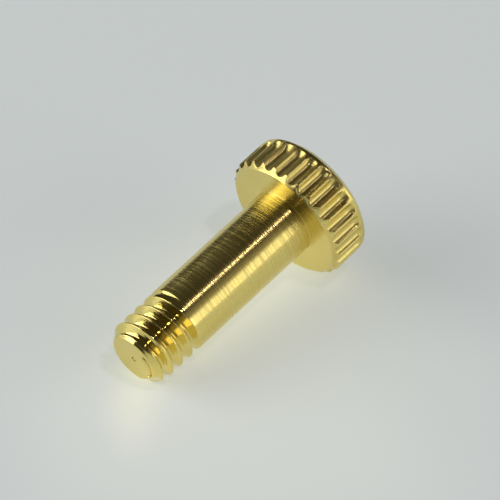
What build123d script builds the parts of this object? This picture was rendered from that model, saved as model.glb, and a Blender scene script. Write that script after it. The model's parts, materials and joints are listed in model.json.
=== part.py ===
from build123d import *
import os
from math import atan2, cos, degrees, pi, radians, sin, tan

# A thumb screw turned in one piece: a straight-knurled head, a plain shank and a short thread.
# Millimetres. It lies at rest on z = 0, on two ridges of its head and the last crest of its thread,
# with the head towards +X and the tip towards -X.

# Shank and thread
shank_diameter = 3.88
shank_length = 12.0
neck_radius = 0.06
thread_length = 3.48
thread_pitch = 0.75
thread_angle = 60.0
crest_flat_share = 1 / 8
root_flat_share = 1 / 6
thread_runout_turns = 0.6
thread_lead_taper = 0.03

# Tip
tip_chamfer_length = 0.45
tip_chamfer_width = 0.49
tip_edge_radius = 0.12
pip_diameter = 0.4
pip_height = 0.05
pip_top_share = 0.6

# Head
head_diameter = 7.72
head_height = 2.6
underside_chamfer_height = 0.33
underside_chamfer_width = 0.39
top_chamfer_height = 0.35
top_chamfer_width = 0.46

# Knurl
ridge_count = 28
ridge_crest_radius = 0.12
flute_depth = 0.26

# How far a cutting or trimming shape runs past what it cuts
overrun = 0.2

shank_radius = shank_diameter / 2
lead_radius = shank_radius - thread_lead_taper / 2
head_radius = head_diameter / 2
underside_radius = head_radius - underside_chamfer_width
top_face_radius = head_radius - top_chamfer_width
tip_face_radius = lead_radius - tip_chamfer_width
pip_radius = pip_diameter / 2
flute_bottom_radius = head_radius - flute_depth
ridge_step = 2 * pi / ridge_count

# A flute's arc is tangent to the round crests on its two sides.
crest_centre_radius = head_radius - ridge_crest_radius
crest_chord = crest_centre_radius * cos(ridge_step / 2)
flute_radius = (
    ridge_crest_radius**2
    - flute_bottom_radius**2
    - crest_centre_radius**2
    + 2 * flute_bottom_radius * crest_chord
) / (2 * (flute_bottom_radius - crest_chord - ridge_crest_radius))
flute_centre_radius = flute_bottom_radius + flute_radius

# Rest: a flute is straight below the axis, so the ridges on its two sides carry the head.
# The other support is the crest that the tip's chamfer meets.
carried_radius = crest_centre_radius * cos(ridge_step / 2) + ridge_crest_radius
support_position = shank_length - tip_chamfer_length
tilt = atan2(carried_radius - lead_radius, support_position + underside_chamfer_height)

# The axis runs from the middle of the head's underside to the tip.
axis_direction = Vector(-cos(tilt), 0, -sin(tilt))
axis_up = Vector(-sin(tilt), 0, cos(tilt))
reach_of_head = head_height * cos(tilt) + top_face_radius * sin(tilt)
reach_of_tip = shank_length * cos(tilt) + tip_face_radius * sin(tilt)
underside_centre = Vector(
    (reach_of_tip - reach_of_head) / 2,
    0,
    carried_radius * cos(tilt) - underside_chamfer_height * sin(tilt),
)
screw_axis = Axis(underside_centre, axis_direction)

# In the section plane, x is the distance from the underside towards the tip and y is the radius.
section_plane = Plane(underside_centre, x_dir=axis_direction, z_dir=axis_direction.cross(axis_up))


def axis_point(position):
    """The point of the axis at a distance from the underside towards the tip."""
    return underside_centre + axis_direction * position


def knurl_point(radius, angle):
    """A point in the knurl's plane, with angle zero in the flute below the axis."""
    return Vector(radius * cos(angle), radius * sin(angle))


def tangent_point(crest_angle, flute_angle):
    """Where the crest of a ridge meets the flute beside it."""
    crest_centre = knurl_point(crest_centre_radius, crest_angle)
    flute_centre = knurl_point(flute_centre_radius, flute_angle)
    return crest_centre + (flute_centre - crest_centre).normalized() * ridge_crest_radius


def ridge_outline(start_angle):
    """The crest of one ridge of the knurl, and the flute that follows it."""
    crest_angle = start_angle + ridge_step / 2
    flute_angle = start_angle + ridge_step
    crest_start = tangent_point(crest_angle, start_angle)
    crest_end = tangent_point(crest_angle, flute_angle)
    next_crest_start = tangent_point(crest_angle + ridge_step, flute_angle)
    ThreePointArc(crest_start, knurl_point(head_radius, crest_angle), crest_end)
    ThreePointArc(crest_end, knurl_point(flute_bottom_radius, flute_angle), next_crest_start)


# Thread: the groove's section, measured from its middle at the shank's surface
crest_flat = thread_pitch * crest_flat_share
flank_slope = tan(radians(thread_angle / 2))
mouth_half_width = (thread_pitch - crest_flat) / 2
bottom_half_width = thread_pitch * root_flat_share / 2
thread_depth = (mouth_half_width - bottom_half_width) / flank_slope
groove_overrun = crest_flat / 2

# The groove starts below the axis, past the tip, half a pitch from the crest that carries the tip.
groove_start = support_position + 1.5 * thread_pitch
runout_length = thread_runout_turns * thread_pitch
runout_start = shank_length - thread_length + runout_length
full_groove_length = groove_start - runout_start
full_groove_turns = full_groove_length / thread_pitch
runout_cone = atan2(thread_depth + groove_overrun, runout_length)
plain_length = shank_length - thread_length - thread_pitch * root_flat_share


def helix_plane(position, turns):
    """A plane across the axis, facing the head, with x where the groove is after some turns."""
    groove_side = (-axis_up).rotate(screw_axis, -360 * turns)
    return Plane(axis_point(position), x_dir=groove_side, z_dir=-axis_direction)


def groove_plane(start, direction):
    """The plane of the groove's section at a point of its path, with x away from the axis."""
    on_axis = axis_point((start - underside_centre).dot(axis_direction))
    return Plane(start, x_dir=start - on_axis, z_dir=direction)


full_path = helix_plane(groove_start, 0) * Helix(thread_pitch, full_groove_length, shank_radius)
runout_path = helix_plane(runout_start, full_groove_turns) * Helix(
    thread_pitch / cos(runout_cone),
    runout_length,
    shank_radius,
    cone_angle=degrees(runout_cone),
)

underside_slope = underside_chamfer_height / underside_chamfer_width
top_slope = top_chamfer_height / top_chamfer_width

with BuildPart() as screw:
    # Head: the knurl's outline along its height, trimmed to the section of the head
    with BuildSketch(Plane(axis_point(overrun), x_dir=-axis_up, z_dir=-axis_direction)):
        with BuildLine():
            for ridge in range(ridge_count):
                ridge_outline(ridge * ridge_step)
        make_face()
    extrude(amount=head_height + 2 * overrun)
    with BuildSketch(section_plane):
        with BuildLine():
            Polyline(
                (0, 0),
                (0, underside_radius),
                (-underside_chamfer_height - overrun * underside_slope, head_radius + overrun),
                (top_chamfer_height + overrun * top_slope - head_height, head_radius + overrun),
                (-head_height, top_face_radius),
                (-head_height, 0),
                close=True,
            )
        make_face()
    revolve(axis=screw_axis, mode=Mode.INTERSECT)

    # Shank: from inside the head to the tip, plain and then slightly tapered where the thread is cut
    neck_corner = (0, shank_radius)
    tip_corner = (shank_length, tip_face_radius)
    with BuildSketch(section_plane) as shank_section:
        with BuildLine():
            Polyline(
                (-head_height / 2, 0),
                (-head_height / 2, shank_radius + 2 * neck_radius),
                (0, shank_radius + 2 * neck_radius),
                neck_corner,
                (plain_length, shank_radius),
                (support_position, lead_radius),
                tip_corner,
                (shank_length, pip_radius),
                (shank_length + pip_height, pip_radius * pip_top_share),
                (shank_length + pip_height, 0),
                close=True,
            )
        make_face()
        for corner, radius in ((neck_corner, neck_radius), (tip_corner, tip_edge_radius)):
            fillet(shank_section.vertices().sort_by_distance(corner)[0], radius)
    revolve(axis=screw_axis)

    # Thread: a groove of full depth, then its run-out towards the shank
    for path, direction in ((full_path, full_path % 0), (runout_path, full_path % 1)):
        with BuildSketch(groove_plane(path @ 0, direction)):
            with BuildLine():
                Polyline(
                    (-thread_depth, -bottom_half_width),
                    (-thread_depth, bottom_half_width),
                    (groove_overrun, mouth_half_width + groove_overrun * flank_slope),
                    (groove_overrun, -mouth_half_width - groove_overrun * flank_slope),
                    close=True,
                )
            make_face()
        sweep(path=path, is_frenet=True, mode=Mode.SUBTRACT)

screw.part.label = "screw"
os.makedirs("parts", exist_ok=True)
export_step(screw.part, "parts/screw.step")
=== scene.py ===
import json
import math
import bpy
import numpy as np
from mathutils import Matrix, Vector


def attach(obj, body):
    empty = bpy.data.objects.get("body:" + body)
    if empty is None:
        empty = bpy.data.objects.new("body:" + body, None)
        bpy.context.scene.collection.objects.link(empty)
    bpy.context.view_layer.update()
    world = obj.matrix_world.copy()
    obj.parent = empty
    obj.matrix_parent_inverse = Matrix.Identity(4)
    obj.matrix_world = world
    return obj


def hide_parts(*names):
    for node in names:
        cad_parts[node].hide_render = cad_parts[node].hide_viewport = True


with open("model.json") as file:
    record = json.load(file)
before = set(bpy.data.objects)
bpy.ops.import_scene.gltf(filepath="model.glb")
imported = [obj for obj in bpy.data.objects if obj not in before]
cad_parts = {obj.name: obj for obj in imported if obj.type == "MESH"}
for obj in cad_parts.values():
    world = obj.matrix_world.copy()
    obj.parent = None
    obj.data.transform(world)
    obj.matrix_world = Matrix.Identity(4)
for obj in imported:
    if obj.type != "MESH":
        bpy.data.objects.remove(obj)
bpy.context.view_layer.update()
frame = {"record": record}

MM = 0.001
TURN = 2 * math.pi
SEED = 7

# Where the screw lies: its mounts give the axis, the tip and the shank's radius.
mounts = {mount["name"]: mount for mount in frame["record"]["mounts"]}
AXIS = np.array(mounts["shank"]["axis"])
TIP = np.array(mounts["thread"]["pos_m"])
UP = np.array((0.0, 0.0, 1.0)) - AXIS * AXIS[2]
UP /= np.linalg.norm(UP)
SIDE = np.cross(AXIS, UP)
SHANK_RADIUS = mounts["shank"]["dims"]["r_mm"] * MM

# Shank and thread. Distances along the axis run from the head's underside towards the tip.
SHANK_LENGTH = 12.0 * MM
UNDERSIDE = TIP - AXIS * SHANK_LENGTH
NECK_ROUNDING = 0.06 * MM
PITCH = 0.75 * MM
CREST_FLAT_SHARE = 1 / 14
ROOT_FLAT_SHARE = 1 / 6
CREST_FLAT = PITCH * CREST_FLAT_SHARE
ROOT_FLAT = PITCH * ROOT_FLAT_SHARE
THREAD_ANGLE = math.radians(60)
FLANK_SLOPE = math.tan(THREAD_ANGLE / 2)
THREAD_DEPTH = (PITCH - CREST_FLAT - ROOT_FLAT) / 2 / FLANK_SLOPE
THREAD_EDGE = 0.016 * MM
ROOT_ROUNDING = 0.45 * MM
END_ROUNDING = 0.22 * MM
THREAD_FROM = 8.3 * MM
THREAD_TO = 11.9 * MM
RUNOUT_FROM = 8.91 * MM
RUNOUT_LENGTH = 0.45 * MM
LEAD_TAPER = 0.015 * MM
LEAD_RADIUS = SHANK_RADIUS - LEAD_TAPER
# Turns of the groove, counted from the turn that opens into the end face
GROOVE_TURNS = range(-7, 3)

# Tip
TIP_CHAMFER_LENGTH = 0.45 * MM
TIP_CHAMFER_WIDTH = 0.49 * MM
TIP_FACE_RADIUS = LEAD_RADIUS - TIP_CHAMFER_WIDTH
TIP_ROUNDING = 0.2 * MM
SUPPORT = SHANK_LENGTH - TIP_CHAMFER_LENGTH
# A torn pip in the middle of the end face: long and narrow, and higher at one end
PIP_RADIUS = 0.28 * MM
PIP_HEIGHT = 0.05 * MM
PIP_ROUNDING = 0.01 * MM
PIP_TURN = math.radians(227)
PIP_WIDTH_SHARE = 0.32
PIP_TOP_SHARE = 0.7
PIP_SLOPE_SHARE = 0.25
PIP_MIDDLE_SHARE = 0.6
# A lap that the thread left on the end face: a thin line from its start to the notch in the rim
LAP_START = math.radians(322.5)
LAP_TURN = math.radians(96)
LAP_FROM_RADIUS = 1.04 * MM
LAP_TO_RADIUS = 1.37 * MM
LAP_HALF_WIDTH = 0.05 * MM
LAP_DEPTH = 0.17 * MM
LAP_BEND = 2.2
LAP_RETURN_SHARE = 1.2
LAP_MARGIN_SHARE = 1.5
LAP_FADE_IN_SHARE = 0.15
LAP_FADE_OUT_SHARE = 0.12
# The lap's section, from its outer edge to its inner one, in shares of its half width and depth
LAP_SECTION_SHARES = ((1, 0.35), (0.15, 1), (-0.3, 0.85), (-1, 0))
NOTCH_MIDDLE = math.radians(228)
NOTCH_HALF = math.radians(48)
NOTCH_DEPTH = 0.14 * MM
NOTCH_SHIFT = 0.09 * MM

# Head
HEAD_RADIUS = 3.86 * MM
HEAD_HEIGHT = 2.6 * MM
UNDERSIDE_CHAMFER_HEIGHT = 0.33 * MM
UNDERSIDE_CHAMFER_WIDTH = 0.39 * MM
UNDERSIDE_RADIUS = HEAD_RADIUS - UNDERSIDE_CHAMFER_WIDTH
TOP_CHAMFER_HEIGHT = 0.35 * MM
TOP_CHAMFER_WIDTH = 0.46 * MM
TOP_RADIUS = HEAD_RADIUS - TOP_CHAMFER_WIDTH
RIM_DROP = 0.02 * MM
RIM_RADIUS = HEAD_RADIUS - RIM_DROP
RIM_ROUNDING = 0.2 * MM
EDGE_ROUNDING = 0.03 * MM

# Knurl: round flutes, tangent to the round crests between them
RIDGES = 28
STEP = TURN / RIDGES
FLUTE_DEPTH = 0.26 * MM
FLUTE_END = 0.5 * MM
FLUTE_EDGE_SHARE = 1.05
CREST_RADIUS = 0.12 * MM
CREST_WEAR = 0.012 * MM
CREST_CENTRE = HEAD_RADIUS - CREST_RADIUS
FLUTE_BOTTOM = HEAD_RADIUS - FLUTE_DEPTH

# How finely the surface is divided: rows on the rounded edges, and rows between those
EDGE_ROWS = 4
RIM_ROWS = 6
NECK_ROWS = 5
FLUTE_END_ROWS = 11
TIP_EDGE_ROWS = 6
PIP_EDGE_ROWS = 3
TOP_FILL = 3
WALL_FILL = 1
UNDERSIDE_FILL = 2
SHANK_FILL = 8
LAP_FILL = 1
FACE_FILL = 5
CREST_OFFSET_SHARES = np.array((0, 0.3, 0.58, 0.82, 1.0))
FLUTE_OFFSET_SHARES = np.array((0.1, 0.25, 0.48, 0.74, 1.0))
HALF_PITCH_SHARES = np.array((0, 0.06, 0.12, 0.18, 0.25, 0.34, 0.5, 0.66, 0.81, 0.86, 0.9, 0.94))
# The top and the pip are closed by triangles inside a last small ring.
CENTRE_SHARE = 0.02
# Rows of the thread this close to its ends are joined to them.
JOIN = 0.004 * MM
# A rounding takes less than half of the shorter side at its corner.
ROUNDING_ROOM_SHARE = 0.45
STRAIGHT_COSINE = 0.9999
SHORTEST = 1e-12
SMALLEST_AREA = 1e-20


def smooth_min(a, b, width):
    """The smaller of two values, with the change from one to the other rounded over a width."""
    blend_share = np.clip(width - np.abs(a - b), 0, None) / width
    return np.minimum(a, b) - blend_share**2 * width / 4


def smooth_max(a, b, width):
    """The larger of two values, rounded in the same way."""
    return -smooth_min(-a, -b, width)


def smooth_step(x):
    """From zero to one, level at both ends."""
    x = np.clip(x, 0, 1)
    return x * x * (3 - 2 * x)


# The flute's arc, and where it meets the crest
chord = CREST_CENTRE * math.cos(STEP / 2)
FLUTE_RADIUS = (
    CREST_RADIUS**2 - FLUTE_BOTTOM**2 - CREST_CENTRE**2 + 2 * FLUTE_BOTTOM * chord
) / (2 * (FLUTE_BOTTOM - chord - CREST_RADIUS))
FLUTE_CENTRE = FLUTE_BOTTOM + FLUTE_RADIUS
to_flute = np.array(
    (FLUTE_CENTRE * math.sin(STEP / 2), FLUTE_CENTRE * math.cos(STEP / 2) - CREST_CENTRE)
)
tangent_share = CREST_RADIUS / (CREST_RADIUS + FLUTE_RADIUS)
tangent_point = np.array((0, CREST_CENTRE)) + to_flute * tangent_share
tangent_angle = math.atan2(tangent_point[0], tangent_point[1])


def ridge_radius(offset):
    """Radius of the knurl's outline at an angle from the middle of a ridge."""
    offset = np.abs(offset)
    crest_chord = np.clip(CREST_RADIUS**2 - (CREST_CENTRE * np.sin(offset)) ** 2, 0, None)
    flute_chord = np.clip(FLUTE_RADIUS**2 - (FLUTE_CENTRE * np.sin(STEP / 2 - offset)) ** 2, 0, None)
    on_crest = CREST_CENTRE * np.cos(offset) + np.sqrt(crest_chord)
    in_flute = FLUTE_CENTRE * np.cos(STEP / 2 - offset) - np.sqrt(flute_chord)
    return np.where(offset < tangent_angle, on_crest, in_flute)


# Columns of the mesh. Angles run from the upward side of the axis, and every ridge has the same columns.
crest_offsets = tangent_angle * CREST_OFFSET_SHARES
flute_offsets = tangent_angle + (STEP / 2 - tangent_angle) * FLUTE_OFFSET_SHARES
half_ridge = np.concatenate((crest_offsets, flute_offsets))
ridge_offsets = np.concatenate((-half_ridge[:0:-1], half_ridge[:-1]))
PER_RIDGE = len(ridge_offsets)
COLUMNS = RIDGES * PER_RIDGE
# A flute is straight below the axis, so the first ridge is half a step from there.
ridge_middles = math.pi + STEP / 2 + STEP * np.arange(RIDGES)
around = (ridge_middles[:, None] + ridge_offsets[None, :]).ravel()
offsets = np.tile(ridge_offsets, RIDGES)
ridge_of = np.repeat(np.arange(RIDGES), PER_RIDGE)


def spread(value):
    """A value for every column."""
    return np.broadcast_to(np.asarray(value, dtype=float), (COLUMNS,))


def rounded(corners, radii, row_counts):
    """Rows of a profile through corners of (position, radius), each rounded by its own radius."""
    points = [np.stack((spread(position), spread(radius)), axis=1) for position, radius in corners]
    rows = [points[0]]
    for before, corner, after, radius, count in zip(points, points[1:], points[2:], radii, row_counts):
        back = before - corner
        ahead = after - corner
        back_length = np.linalg.norm(back, axis=1)
        ahead_length = np.linalg.norm(ahead, axis=1)
        room = ROUNDING_ROOM_SHARE * np.minimum(back_length, ahead_length)
        back = back / np.maximum(back_length, SHORTEST)[:, None]
        ahead = ahead / np.maximum(ahead_length, SHORTEST)[:, None]
        cosine = np.clip((back * ahead).sum(axis=1), -STRAIGHT_COSINE, STRAIGHT_COSINE)
        tangent = np.minimum(radius / np.tan(np.arccos(cosine) / 2), room)
        start = corner + back * tangent[:, None]
        end = corner + ahead * tangent[:, None]
        # A quadratic curve from one tangent point to the other
        for share in np.linspace(0, 1, count):
            rows.append(
                start * (1 - share) ** 2 + corner * 2 * share * (1 - share) + end * share**2
            )
    rows.append(points[-1])
    return rows


def between(first, last, count):
    """Rows between two rows, without those two."""
    return [first + (last - first) * k / (count + 1) for k in range(1, count + 1)]


# Head, from the middle of its top to the shank. Each ridge is a little different from the next.
rng = np.random.default_rng(SEED)
crest_wear = rng.uniform(0, CREST_WEAR, RIDGES)
crest_share = smooth_step(1 - np.abs(offsets) / tangent_angle)
outline = ridge_radius(offsets) - crest_wear[ridge_of] * crest_share
rim_position = -HEAD_HEIGHT + TOP_CHAMFER_HEIGHT * (RIM_RADIUS - TOP_RADIUS) / TOP_CHAMFER_WIDTH
underside_radius = np.minimum(outline, UNDERSIDE_RADIUS)
chamfer_slope = UNDERSIDE_CHAMFER_HEIGHT / UNDERSIDE_CHAMFER_WIDTH
chamfer_position = -chamfer_slope * (outline - underside_radius)
head_rows = rounded(
    (
        (-HEAD_HEIGHT, CENTRE_SHARE * TOP_RADIUS),
        (-HEAD_HEIGHT, TOP_RADIUS),
        (rim_position, RIM_RADIUS),
        (chamfer_position, outline),
        (0, underside_radius),
        (0, SHANK_RADIUS),
        (THREAD_FROM, SHANK_RADIUS),
    ),
    (EDGE_ROUNDING, RIM_ROUNDING, EDGE_ROUNDING, EDGE_ROUNDING, NECK_ROUNDING),
    (EDGE_ROWS, RIM_ROWS, EDGE_ROWS, EDGE_ROWS, NECK_ROWS),
)
WALL_START = 1 + EDGE_ROWS + RIM_ROWS
FLAT_START = WALL_START + 2 * EDGE_ROWS
# A flute ends below the rim, round like the end of a finger.
rim_row = head_rows[WALL_START - 1]
wall_rows = []
for share in np.linspace(0, 1, FLUTE_END_ROWS + 1)[1:]:
    uncut = rim_row[:, 1] + np.clip(outline - rim_row[:, 1], 0, None) * share
    flute = outline + FLUTE_DEPTH * (1 - share) ** 2
    radius = smooth_min(uncut, flute, EDGE_ROUNDING * (FLUTE_EDGE_SHARE - share))
    wall_rows.append(np.stack((rim_row[:, 0] + FLUTE_END * share, radius), axis=1))
wall_rows += between(wall_rows[-1], head_rows[WALL_START], WALL_FILL)
top_rows = between(head_rows[0], head_rows[1], TOP_FILL)
rows_before = (
    head_rows[:1]
    + top_rows
    + head_rows[1:WALL_START]
    + wall_rows
    + head_rows[WALL_START:FLAT_START]
    + between(head_rows[FLAT_START - 1], head_rows[FLAT_START], UNDERSIDE_FILL)
    + head_rows[FLAT_START:-1]
    + between(head_rows[-2], head_rows[-1], SHANK_FILL)
    + head_rows[-1:]
)


# Thread
def groove_middle(angle):
    """Where the groove that opens into the end face is, at an angle round the axis."""
    return SUPPORT + PITCH / 2 + PITCH * (angle - math.pi) / TURN


def notch_share(angle):
    """How much of the notch there is at an angle: one in its middle and zero at its ends."""
    turned = np.mod(angle - NOTCH_MIDDLE + math.pi, TURN) - math.pi
    return smooth_step(1 - np.abs(turned) / NOTCH_HALF)


def root_rounding(middle):
    """How wide the groove's root is rounded: less at the run-out and at the tip."""
    from_runout_share = smooth_step((middle - RUNOUT_FROM) / PITCH)
    from_tip_share = smooth_step((SUPPORT - middle) / PITCH)
    return END_ROUNDING + (ROOT_ROUNDING - END_ROUNDING) * from_runout_share * from_tip_share


def thread_radius(position, angle):
    """Radius of the shank's threaded end."""
    taper_share = np.clip((position - THREAD_FROM) / (SUPPORT - THREAD_FROM), 0, 1)
    radius = SHANK_RADIUS - LEAD_TAPER * taper_share
    for turn in GROOVE_TURNS:
        middle = groove_middle(angle) + turn * PITCH
        runout_share = np.clip((RUNOUT_FROM - middle) / RUNOUT_LENGTH, 0, None)
        lift = (THREAD_DEPTH + CREST_FLAT / 2) * runout_share
        if turn == 0:
            middle = middle - NOTCH_SHIFT * notch_share(angle)
            lift = lift - NOTCH_DEPTH * notch_share(angle)
        flank = (np.abs(position - middle) - ROOT_FLAT / 2) / FLANK_SLOPE
        root = smooth_max(flank, 0 * flank, root_rounding(middle))
        groove = SHANK_RADIUS - THREAD_DEPTH + lift + root
        radius = smooth_min(radius, groove, THREAD_EDGE)
    cone = LEAD_RADIUS - (position - SUPPORT) * TIP_CHAMFER_WIDTH / TIP_CHAMFER_LENGTH
    return smooth_min(radius, cone, THREAD_EDGE)


# Rows of the thread follow its helix, with the same places in every pitch.
half_pitch = HALF_PITCH_SHARES * PITCH / 2
pitch_places = np.sort(np.concatenate((half_pitch, PITCH - half_pitch[:0:-1], (PITCH / 2,))))
PER_PITCH = len(pitch_places)
first_turn = math.floor((THREAD_FROM - groove_middle(TURN)) / PITCH) - 1
last_turn = math.ceil((THREAD_TO - groove_middle(0)) / PITCH) + 1
helix_offsets = np.concatenate(
    [turn * PITCH + pitch_places for turn in range(first_turn, last_turn)]
)
helix_position = groove_middle(around)[None, :] + helix_offsets[:, None]
helix_around = np.broadcast_to(around, helix_position.shape)
helix_radius = thread_radius(helix_position, helix_around)

# Tip, from the chamfer to the pip at its middle
end_radius = thread_radius(spread(THREAD_TO), around)
face_radius = np.minimum(TIP_FACE_RADIUS, end_radius - (SHANK_LENGTH - THREAD_TO) / 2)
along_pip = np.cos(around - PIP_TURN)
pip_radius = PIP_RADIUS * (PIP_WIDTH_SHARE + (1 - PIP_WIDTH_SHARE) * along_pip**2)
pip_top = SHANK_LENGTH + PIP_HEIGHT * (1 - PIP_SLOPE_SHARE * (1 + along_pip))
pip_middle = SHANK_LENGTH + PIP_HEIGHT * PIP_MIDDLE_SHARE
tip_rows = rounded(
    (
        (THREAD_TO, end_radius),
        (SHANK_LENGTH, face_radius),
        (SHANK_LENGTH, pip_radius),
        (pip_top, PIP_TOP_SHARE * pip_radius),
        (pip_middle, CENTRE_SHARE * PIP_RADIUS),
    ),
    (TIP_ROUNDING, PIP_ROUNDING, PIP_ROUNDING),
    (TIP_EDGE_ROWS, PIP_EDGE_ROWS, PIP_EDGE_ROWS),
)
FACE_START = 1 + TIP_EDGE_ROWS
face_edge = tip_rows[FACE_START - 1]
# Past its end the lap's line goes on without depth, back to where it starts.
lap_share = np.mod(LAP_START - around, TURN) / LAP_TURN
back_share = smooth_step((lap_share - LAP_RETURN_SHARE) / (TURN / LAP_TURN - LAP_RETURN_SHARE))
out_share = np.clip(lap_share, 0, 1) ** LAP_BEND * (1 - back_share)
lap_radius = LAP_FROM_RADIUS + (LAP_TO_RADIUS - LAP_FROM_RADIUS) * out_share
lap_radius = np.minimum(lap_radius, face_edge[:, 1] - LAP_MARGIN_SHARE * LAP_HALF_WIDTH)
fade_in_share = smooth_step(lap_share / LAP_FADE_IN_SHARE)
fade_out_share = smooth_step((1 - lap_share) / LAP_FADE_OUT_SHARE)
lap_depth = LAP_DEPTH * fade_in_share * fade_out_share
lap_rows = []
for width_share, depth_share in LAP_SECTION_SHARES:
    position = SHANK_LENGTH - lap_depth * depth_share
    radius = lap_radius + LAP_HALF_WIDTH * width_share
    lap_rows.append(np.stack((position, radius), axis=1))
rows_after = (
    tip_rows[:FACE_START]
    + between(face_edge, lap_rows[0], LAP_FILL)
    + lap_rows
    + between(lap_rows[-1], tip_rows[FACE_START], FACE_FILL)
    + tip_rows[FACE_START:]
)


def placed(position, radius, angle):
    """Points in the scene from distances along the axis, radii and angles."""
    outward = np.cos(angle)[..., None] * UP + np.sin(angle)[..., None] * SIDE
    return UNDERSIDE + position[..., None] * AXIS + radius[..., None] * outward


def placed_rows(rows):
    """Points in the scene of whole rows."""
    stack = np.stack(rows)
    angle = np.broadcast_to(around, stack.shape[:2])
    return placed(stack[..., 0], stack[..., 1], angle).reshape(-1, 3)


def surface_lengths(rows):
    """Distance along the surface from the first row, averaged round the axis."""
    steps = [np.linalg.norm(after - before, axis=1).mean() for before, after in zip(rows, rows[1:])]
    return np.concatenate(((0.0,), np.cumsum(steps)))


# Vertices: the rows before the thread, the thread's helical rows, and the rows after it.
# What lies outside the thread in a helical row falls on the row before or after the thread.
grid_before = np.arange(len(rows_before) * COLUMNS).reshape(-1, COLUMNS)
vertex_count = grid_before.size
inside = (helix_position > THREAD_FROM + JOIN) & (helix_position < THREAD_TO - JOIN)
past = helix_position >= THREAD_TO - JOIN
helix_ids = np.tile(grid_before[-1], (len(helix_offsets), 1))
helix_ids[inside] = vertex_count + np.arange(inside.sum())
vertex_count += int(inside.sum())
grid_after = vertex_count + np.arange(len(rows_after) * COLUMNS).reshape(-1, COLUMNS)
vertex_count += grid_after.size
helix_ids[past] = np.broadcast_to(grid_after[0], helix_ids.shape)[past]
top_id = vertex_count
tip_id = vertex_count + 1
vertices = np.concatenate(
    (
        placed_rows(rows_before),
        placed(helix_position[inside], helix_radius[inside], helix_around[inside]),
        placed_rows(rows_after),
        (UNDERSIDE - AXIS * HEAD_HEIGHT)[None, :],
        (UNDERSIDE + AXIS * pip_middle)[None, :],
    )
)

# The first texture coordinate is the share of a turn, the second the distance along the surface.
turn_shares = np.append((around - around[0]) / TURN, 1.0)
lengths_before = surface_lengths(rows_before)
thread_lengths = lengths_before[-1] + helix_position[inside] - THREAD_FROM
lengths_after = lengths_before[-1] + THREAD_TO - THREAD_FROM + surface_lengths(rows_after)
vertex_lengths = np.concatenate(
    (
        np.repeat(lengths_before, COLUMNS),
        thread_lengths,
        np.repeat(lengths_after, COLUMNS),
        (0.0, lengths_after[-1]),
    )
)

# Faces
corner_sets = []
turn_sets = []


def strip(left, right, left_turn, right_turn):
    """Faces between two columns: their corners, and how far round the axis those are."""
    corners = np.stack((left[:-1], right[:-1], right[1:], left[1:]), axis=1)
    corner_sets.append(corners)
    turn_sets.append(np.broadcast_to((left_turn, right_turn, right_turn, left_turn), corners.shape))


for grid in (grid_before, grid_after):
    for column in range(COLUMNS):
        following = (column + 1) % COLUMNS
        strip(grid[:, column], grid[:, following], turn_shares[column], turn_shares[column + 1])
for column in range(COLUMNS - 1):
    strip(
        helix_ids[:, column],
        helix_ids[:, column + 1],
        turn_shares[column],
        turn_shares[column + 1],
    )
# After a whole turn the groove is one pitch further along.
last_row = len(helix_offsets) - 1
lags = np.arange(-PER_PITCH, last_row + 1)
strip(
    helix_ids[np.clip(lags, 0, last_row), -1],
    helix_ids[np.clip(lags + PER_PITCH, 0, last_row), 0],
    turn_shares[-2],
    turn_shares[-1],
)
# Corners that fall together make a triangle, or nothing.
faces = []
face_turns = []
for quad, turns in zip(np.concatenate(corner_sets).tolist(), np.concatenate(turn_sets).tolist()):
    kept = [k for k in range(4) if quad[k] != quad[k - 1]]
    if len(kept) > 2:
        faces.append([quad[k] for k in kept])
        face_turns.extend(turns[k] for k in kept)
for column in range(COLUMNS):
    following = (column + 1) % COLUMNS
    left_turn = turn_shares[column]
    right_turn = turn_shares[column + 1]
    middle_turn = (left_turn + right_turn) / 2
    faces.append([top_id, grid_before[0, following], grid_before[0, column]])
    face_turns.extend((middle_turn, right_turn, left_turn))
    faces.append([tip_id, grid_after[-1, column], grid_after[-1, following]])
    face_turns.extend((middle_turn, left_turn, right_turn))

TURNED = "turned"
mesh = bpy.data.meshes.new("screw_surface")
mesh.from_pydata(vertices.tolist(), [], faces)
uv_layer = mesh.uv_layers.new(name=TURNED)
loop_vertices = np.empty(len(mesh.loops), dtype=np.int32)
mesh.loops.foreach_get("vertex_index", loop_vertices)
turned_places = np.stack((np.array(face_turns), vertex_lengths[loop_vertices] / MM), axis=1)
uv_layer.data.foreach_set("uv", turned_places.astype(np.float32).ravel())
mesh.polygons.foreach_set("use_smooth", np.ones(len(mesh.polygons), dtype=bool))
mesh.update()

# Normals weighted by area, so that broad faces stay flat up to their rounded edges
mesh.calc_loop_triangles()
triangles = np.empty(len(mesh.loop_triangles) * 3, dtype=np.int32)
mesh.loop_triangles.foreach_get("vertices", triangles)
triangles = triangles.reshape(-1, 3)
first, second, third = (vertices[triangles[:, k]] for k in range(3))
face_normals = np.cross(second - first, third - first)
normals = np.zeros_like(vertices)
for k in range(3):
    np.add.at(normals, triangles[:, k], face_normals)
normal_lengths = np.linalg.norm(normals, axis=1, keepdims=True)
normals = normals / np.maximum(normal_lengths, SMALLEST_AREA)
mesh.normals_split_custom_set_from_vertices(normals.tolist())


def added(name, data):
    """A new object in the scene."""
    made = bpy.data.objects.new(name, data)
    bpy.context.scene.collection.objects.link(made)
    return made


screw = added("thumb_screw", mesh)
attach(screw, "root")
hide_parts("screw")


# Nodes of the materials
def material(name):
    """A new node material: itself, its tree and its Principled shader."""
    made = bpy.data.materials.new(name)
    made.use_nodes = True
    return made, made.node_tree, made.node_tree.nodes["Principled BSDF"]


def node(tree, kind, **settings):
    """A new node with its settings."""
    made = tree.nodes.new(kind)
    for key, value in settings.items():
        setattr(made, key, value)
    return made


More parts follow.
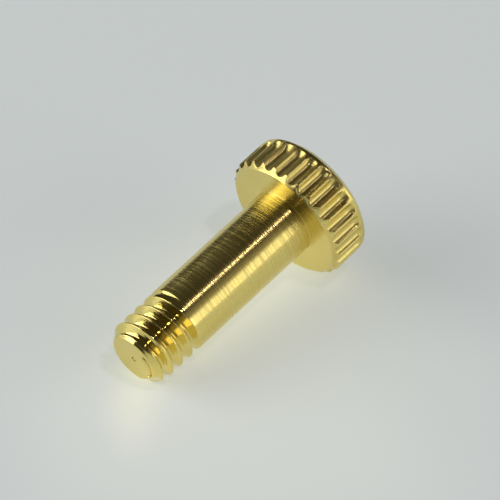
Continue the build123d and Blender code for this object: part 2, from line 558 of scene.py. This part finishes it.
def feed(tree, value, socket):
    """Give a socket what it takes: the output of another node, or a constant."""
    if isinstance(value, bpy.types.NodeSocket):
        tree.links.new(value, socket)
    else:
        socket.default_value = value


def noise(tree, source, scale, detail, roughness=0.5, dimensions="3D"):
    """Noise over a place, or over one distance."""
    made = node(tree, "ShaderNodeTexNoise", noise_dimensions=dimensions)
    made.inputs["Scale"].default_value = scale
    made.inputs["Detail"].default_value = detail
    made.inputs["Roughness"].default_value = roughness
    feed(tree, source, made.inputs["W" if dimensions == "1D" else "Vector"])
    return made.outputs["Fac"]


def ranged(tree, source, reach, levels, interpolation="SMOOTHSTEP"):
    """A value that goes from one level to another as the source goes through its reach."""
    made = node(tree, "ShaderNodeMapRange", interpolation_type=interpolation)
    made.inputs["From Min"].default_value = reach[0]
    made.inputs["From Max"].default_value = reach[1]
    made.inputs["To Min"].default_value = levels[0]
    made.inputs["To Max"].default_value = levels[1]
    feed(tree, source, made.inputs["Value"])
    return made.outputs["Result"]


def worked_out(tree, kind, operation, values):
    """The number that a node of sums works out from its values."""
    made = node(tree, kind, operation=operation)
    for value, socket in zip(values, made.inputs):
        feed(tree, value, socket)
    return made.outputs["Value"]


def number(tree, operation, *values):
    """A number worked out from other numbers."""
    return worked_out(tree, "ShaderNodeMath", operation, values)


def measure(tree, operation, *places):
    """A number worked out from places or directions."""
    return worked_out(tree, "ShaderNodeVectorMath", operation, places)


def mixed(tree, share, *colours):
    """A mix of two colours."""
    made = node(tree, "ShaderNodeMix", data_type="RGBA")
    feed(tree, share, made.inputs["Factor"])
    sockets = [socket for socket in made.inputs if socket.type == "RGBA"]
    for colour, socket in zip(colours, sockets):
        feed(tree, colour, socket)
    return next(socket for socket in made.outputs if socket.type == "RGBA")


# Brass with a gold finish. Places along the surface are in millimetres.
DEEP_BRASS = (0.79, 0.628, 0.165, 1.0)
PALE_BRASS = (0.86, 0.72, 0.27, 1.0)
BLOTCH_SCALE = 900.0
BLOTCH_DETAIL = 4.0
BRASS_ROUGHNESS = (0.16, 0.28)
# The grain of its shine: how strong it is, and its turn from the direction round the axis
GRAIN = 0.85
GRAIN_TURN_SHARE = 0.25
# Turning marks
MARK_SCALE = 8.5
MARK_DETAIL = 2.0
MARK_ROUGHNESS = 0.7
MARK_DEPTH = 0.023 * MM
# The knurl is duller.
KNURL_ROUGHNESS = 0.075
KNURL_FADE = 0.1
KNURL_FROM = lengths_before[len(top_rows) + WALL_START] / MM
KNURL_TO = lengths_before[len(top_rows) + WALL_START + len(wall_rows)] / MM
# So are some rings further along.
RING_SCALE = 6.5
RING_DETAIL = 1.0
RING_REACH = (0.46, 0.58)
RING_ROUGHNESS = 0.065
RINGS_PAST_KNURL = 2.0
RINGS_FADE = 0.6
RINGS_FROM = KNURL_TO + RINGS_PAST_KNURL
# The thread and the tip are polished.
POLISHED_SHARE = 0.4
POLISH_FADE = 0.5
POLISH_FROM = (lengths_before[-1] + RUNOUT_FROM - THREAD_FROM) / MM


def brass_roughness(tree, along, blotches):
    """Roughness before the polish: blotches, with duller rings and a duller knurl."""
    blotchy = ranged(tree, blotches, (0, 1), BRASS_ROUGHNESS, "LINEAR")
    rings = noise(tree, along, RING_SCALE, RING_DETAIL, dimensions="1D")
    ring_share = ranged(tree, rings, RING_REACH, (0, 1))
    ring_level = ranged(tree, along, (RINGS_FROM, RINGS_FROM + RINGS_FADE), (0, RING_ROUGHNESS))
    ringed = number(tree, "MULTIPLY_ADD", ring_share, ring_level, blotchy)
    knurl_start = (KNURL_FROM - KNURL_FADE, KNURL_FROM + KNURL_FADE)
    knurl_end = (KNURL_TO - KNURL_FADE, KNURL_TO + KNURL_FADE)
    onto_knurl = ranged(tree, along, knurl_start, (0, KNURL_ROUGHNESS))
    off_knurl = ranged(tree, along, knurl_end, (1, 0))
    return number(tree, "MULTIPLY_ADD", onto_knurl, off_knurl, ringed)


def brass_material():
    """Turned brass, with its marks and blotches, and a polished thread."""
    made, tree, shader = material("gold_brass")
    shader.inputs["Metallic"].default_value = 1.0
    shader.inputs["Anisotropic"].default_value = GRAIN
    shader.inputs["Anisotropic Rotation"].default_value = GRAIN_TURN_SHARE
    tangent = node(tree, "ShaderNodeTangent", direction_type="UV_MAP", uv_map=TURNED)
    feed(tree, tangent.outputs["Tangent"], shader.inputs["Tangent"])
    place = node(tree, "ShaderNodeTexCoord").outputs["Object"]
    turned = node(tree, "ShaderNodeUVMap", uv_map=TURNED)
    split = node(tree, "ShaderNodeSeparateXYZ")
    feed(tree, turned.outputs["UV"], split.inputs["Vector"])
    along = split.outputs["Y"]

    blotches = noise(tree, place, BLOTCH_SCALE, BLOTCH_DETAIL)
    feed(tree, mixed(tree, blotches, DEEP_BRASS, PALE_BRASS), shader.inputs["Base Color"])
    polish = ranged(tree, along, (POLISH_FROM - POLISH_FADE, POLISH_FROM), (1, POLISHED_SHARE))
    roughness = number(tree, "MULTIPLY", brass_roughness(tree, along, blotches), polish)
    feed(tree, roughness, shader.inputs["Roughness"])

    bump = node(tree, "ShaderNodeBump")
    bump.inputs["Distance"].default_value = MARK_DEPTH
    marks = noise(tree, along, MARK_SCALE, MARK_DETAIL, MARK_ROUGHNESS, "1D")
    feed(tree, marks, bump.inputs["Height"])
    feed(tree, polish, bump.inputs["Strength"])
    feed(tree, bump.outputs["Normal"], shader.inputs["Normal"])
    return made


mesh.materials.append(brass_material())

# Camera, at the photograph's angle
PIXELS = 500
FOCAL_PIXELS = 5581
SENSOR = 36.0
AZIMUTH = math.radians(-47.40)
ELEVATION = math.radians(43.92)
DISTANCE = 300 * MM
AIM = Vector((0.484, 0, 2.5)) * MM
SHIFT_RIGHT = 0.881 * MM
SHIFT_UP = 1.341 * MM
NEAREST = 0.01
FARTHEST = 20
right = Vector((math.cos(AZIMUTH), math.sin(AZIMUTH), 0))
away = Vector((-math.sin(AZIMUTH), math.cos(AZIMUTH), 0))
up = away * math.sin(ELEVATION) + Vector((0, 0, math.cos(ELEVATION)))
ahead = away * math.cos(ELEVATION) - Vector((0, 0, math.sin(ELEVATION)))
camera_place = AIM - ahead * DISTANCE + right * SHIFT_RIGHT + up * SHIFT_UP
camera_data = bpy.data.cameras.new("camera")
camera_data.sensor_width = SENSOR
camera_data.lens = FOCAL_PIXELS * SENSOR / PIXELS
camera_data.clip_start = NEAREST
camera_data.clip_end = FARTHEST
camera = added("camera", camera_data)
camera.matrix_world = Matrix(
    [[right[k], up[k], -ahead[k], camera_place[k]] for k in range(3)] + [[0, 0, 0, 1]]
)
bpy.context.scene.camera = camera

# Floor: plain paper, with a painted pool of light that makes it a little paler and warmer in front of
# the screw
FLOOR_HALF = 4.0
FLOOR_CORNERS = ((-1, -1), (1, -1), (1, 1), (-1, 1))
PAPER_ROUGHNESS = 0.6
PAPER_SHADE = (0.685, 0.74, 0.735, 1.0)
# The paler, warmer shade is a painted pool of light, strongest in front of the screw and fading out over
# a cloudy edge.
PAINTED_POOL_SHADE = (0.768, 0.818, 0.78, 1.0)
PAINTED_POOL_NEARER = 6.3 * MM
PAINTED_POOL_MIDDLE = Vector((AIM[0], AIM[1], 0)) - away * PAINTED_POOL_NEARER
PAINTED_POOL_FROM = 5 * MM
PAINTED_POOL_TO = 18 * MM
CLOUD_SCALE = 70.0
CLOUD_DETAIL = 1.0
CLOUD_REACH = 8 * MM
# In front of the tip is a warm patch, as from light that the end face throws on the paper.
BELOW_TIP = Vector((TIP[0], TIP[1], 0))
LIT_SHADE = (0.865, 0.89, 0.815, 1.0)
PATCH_NEARER = 2.4 * MM
PATCH_WIDTH = 2.2 * MM
PATCH_LENGTH = 4.2 * MM
# On the left, outside the picture, the paper glows brighter with a painted pool of light, as under a
# window, which the metal mirrors.
PAPER_LEVEL = 0.45
PAINTED_WINDOW_LEVEL = 0.85
PAINTED_WINDOW_ASIDE = 18 * MM
PAINTED_WINDOW_REACH = (1 * MM, 10.5 * MM)


def paper_colour(tree, place):
    """The paper's colour, with a painted pool of light in front of the screw whose edges the clouds make
    soft, and the painted warm patch of light before the tip.
    """
    clouds = noise(tree, place, CLOUD_SCALE, CLOUD_DETAIL)
    from_pool_middle = measure(tree, "DISTANCE", place, PAINTED_POOL_MIDDLE)
    cloudy = number(tree, "MULTIPLY_ADD", clouds, CLOUD_REACH, from_pool_middle)
    painted_pool_reach = (PAINTED_POOL_FROM + CLOUD_REACH / 2, PAINTED_POOL_TO + CLOUD_REACH / 2)
    # Painted pool of light: the paper is paler near the pool's middle.
    painted_pool_share = ranged(tree, cloudy, painted_pool_reach, (1, 0))
    shade = mixed(tree, painted_pool_share, PAPER_SHADE, PAINTED_POOL_SHADE)
    patch = node(tree, "ShaderNodeMapping", vector_type="TEXTURE")
    patch.inputs["Location"].default_value = BELOW_TIP - away * PATCH_NEARER
    patch.inputs["Rotation"].default_value = (0, 0, AZIMUTH)
    patch.inputs["Scale"].default_value = (PATCH_WIDTH, PATCH_LENGTH, 1)
    feed(tree, place, patch.inputs["Vector"])
    from_patch = measure(tree, "LENGTH", patch.outputs["Vector"])
    lit_share = ranged(tree, from_patch, (0, 1), (1, 0))
    return mixed(tree, lit_share, shade, LIT_SHADE)


def paper_level(tree, place):
    """The paper's own pale level, seen directly or mirrored in the metal, raised on the left by a
    painted pool of window light. Its shadows stay.
    """
    rays = node(tree, "ShaderNodeLightPath").outputs
    seen = number(tree, "MAXIMUM", rays["Is Camera Ray"], rays["Is Glossy Ray"])
    # Painted pool of light: the glow rises towards a point on the left, as under a window.
    from_painted_window = measure(tree, "DISTANCE", place, BELOW_TIP - right * PAINTED_WINDOW_ASIDE)
    level = ranged(tree, from_painted_window, PAINTED_WINDOW_REACH, (PAINTED_WINDOW_LEVEL, PAPER_LEVEL))
    return number(tree, "MULTIPLY", seen, level)


def paper_material():
    """Plain pale paper."""
    made, tree, shader = material("pale_paper")
    shader.inputs["Roughness"].default_value = PAPER_ROUGHNESS
    place = node(tree, "ShaderNodeTexCoord").outputs["Object"]
    colour = paper_colour(tree, place)
    feed(tree, colour, shader.inputs["Base Color"])
    feed(tree, colour, shader.inputs["Emission Color"])
    feed(tree, paper_level(tree, place), shader.inputs["Emission Strength"])
    return made


floor_mesh = bpy.data.meshes.new("floor")
floor_mesh.from_pydata(
    [(x * FLOOR_HALF, y * FLOOR_HALF, 0) for x, y in FLOOR_CORNERS],
    [],
    [tuple(range(len(FLOOR_CORNERS)))],
)
floor_mesh.materials.append(paper_material())
floor = added("floor", floor_mesh)

# Lights. A direction is given to the right, away from the camera and upwards.
LIGHT_DISTANCE = 0.6


def directed(direction):
    """A direction in the scene."""
    return right * direction[0] + away * direction[1] + Vector((0, 0, direction[2]))


def light(name, direction, width, height, radiance, colour=(1, 1, 1)):
    """An area light of a given radiance that faces the screw."""
    towards = directed(direction).normalized()
    data = bpy.data.lights.new(name, "AREA")
    data.shape = "RECTANGLE"
    data.size = width
    data.size_y = height
    data.color = colour
    data.energy = radiance * math.pi * width * height
    made = added(name, data)
    made.location = Vector(UNDERSIDE) + towards * LIGHT_DISTANCE
    made.rotation_euler = (-towards).to_track_quat("-Z", "Y").to_euler()


light(
    "lamp_above",
    direction=(0.30, -0.26, 0.92),
    width=0.045,
    height=0.045,
    radiance=45.0,
    colour=(1, 0.87, 0.98),
)
light("softbox", direction=(0.90, -0.32, 0.30), width=0.42, height=0.26, radiance=0.82)
light("softbox_edge", direction=(0.90, -0.32, 0.27), width=0.55, height=0.42, radiance=0.5)
light("window_left", direction=(-0.93, -0.02, 0.36), width=0.6, height=0.42, radiance=2.6)

# The room is dark, but for a glow on the right.
ROOM_COLOUR = (1, 0.93, 0.8, 1)
GLOW_DIRECTION = (0.89, -0.46, 0)
GLOW_REACH = (0.48, 0.75)
GLOW_LEVELS = (0.045, 0.27)


def room():
    """The world round the screw."""
    made = bpy.data.worlds.new("room")
    made.use_nodes = True
    tree = made.node_tree
    background = tree.nodes["Background"]
    background.inputs["Color"].default_value = ROOM_COLOUR
    outward = node(tree, "ShaderNodeTexCoord").outputs["Generated"]
    towards_glow = measure(tree, "DOT_PRODUCT", outward, directed(GLOW_DIRECTION))
    feed(tree, ranged(tree, towards_glow, GLOW_REACH, GLOW_LEVELS), background.inputs["Strength"])
    return made


bpy.context.scene.world = room()
bpy.context.scene.view_settings.view_transform = "Standard"
